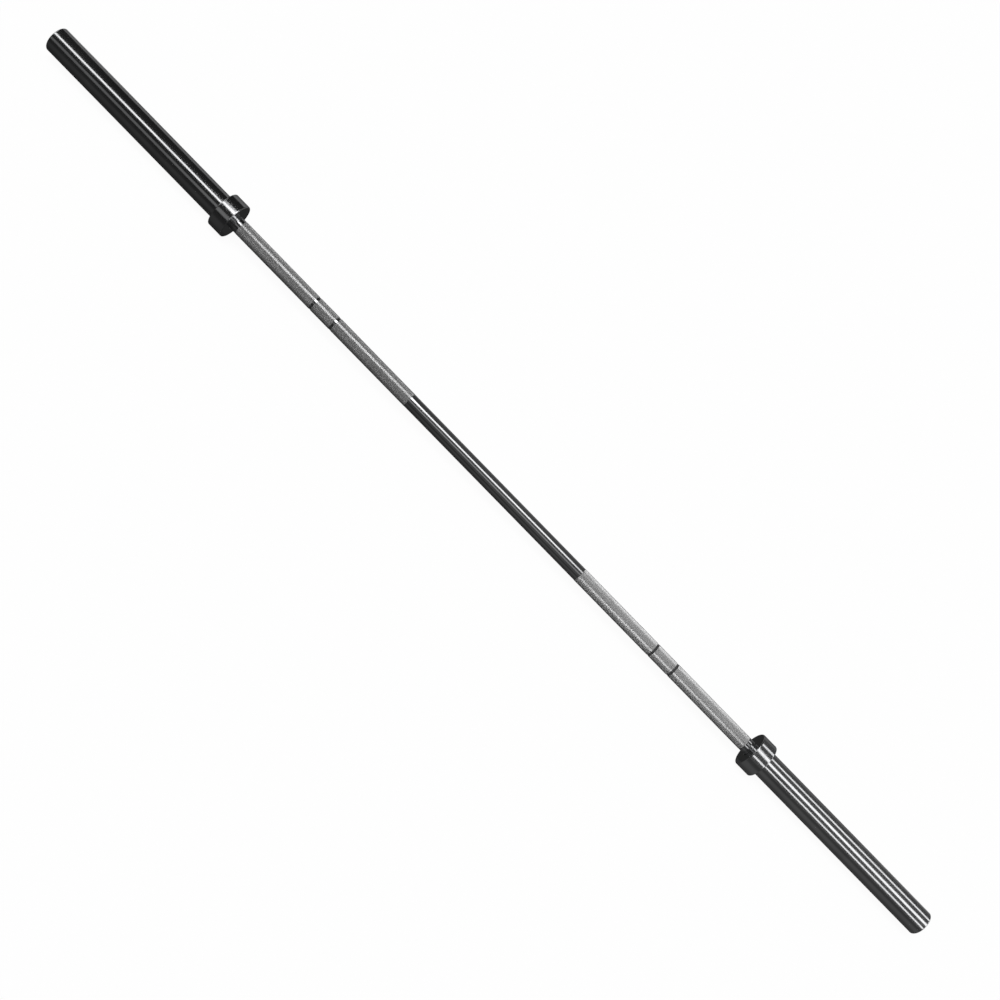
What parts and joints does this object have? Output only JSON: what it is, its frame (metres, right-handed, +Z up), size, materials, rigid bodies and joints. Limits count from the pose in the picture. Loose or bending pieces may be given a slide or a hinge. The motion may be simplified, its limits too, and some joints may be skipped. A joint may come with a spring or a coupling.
{
  "type": "olympic barbell",
  "caption": "Straight steel barbell with a knurled grip, stop collars and long chrome sleeves that turn freely on the shaft and take weight plates.",
  "frame": {"origin": "middle of the bar, on its axis", "axes": "+X along the bar towards its right-hand end, +Z up, +Y away from the viewer"},
  "size_m": [2.2, 0.072, 0.072],
  "materials": {
    "shaft_chrome": "satin, knurled",
    "sleeve_chrome": "polished",
    "bronze": "turned, oiled",
    "washer_steel": "ground",
    "spring_steel": "blackened",
    "cap_aluminium": "turned",
    "seal_rubber": "matte"
  },
  "bodies": {
    "shaft": {"shaft": "shaft_chrome", "left_inner_thrust_washer": "washer_steel", "left_outer_thrust_washer": "washer_steel", "left_shaft_snap_ring": "spring_steel", "right_inner_thrust_washer": "washer_steel", "right_outer_thrust_washer": "washer_steel", "right_shaft_snap_ring": "spring_steel"},
    "left_sleeve": {"left_sleeve_tube": "sleeve_chrome", "left_shoulder_collar": "sleeve_chrome", "left_inner_bushing": "bronze", "left_outer_bushing": "bronze", "left_end_cap": "cap_aluminium", "left_end_cap_snap_ring": "spring_steel", "left_dust_seal": "seal_rubber"},
    "right_sleeve": {"right_sleeve_tube": "sleeve_chrome", "right_shoulder_collar": "sleeve_chrome", "right_inner_bushing": "bronze", "right_outer_bushing": "bronze", "right_end_cap": "cap_aluminium", "right_end_cap_snap_ring": "spring_steel", "right_dust_seal": "seal_rubber"}
  },
  "joints": [
    {"name": "left_sleeve_spin", "type": "hinge", "parent": "shaft", "child": "left_sleeve", "pos_m": [-0.87, 0, 0], "axis": [1, 0, 0], "continuous": true},
    {"name": "right_sleeve_spin", "type": "hinge", "parent": "shaft", "child": "right_sleeve", "pos_m": [0.87, 0, 0], "axis": [1, 0, 0], "continuous": true}
  ]
}
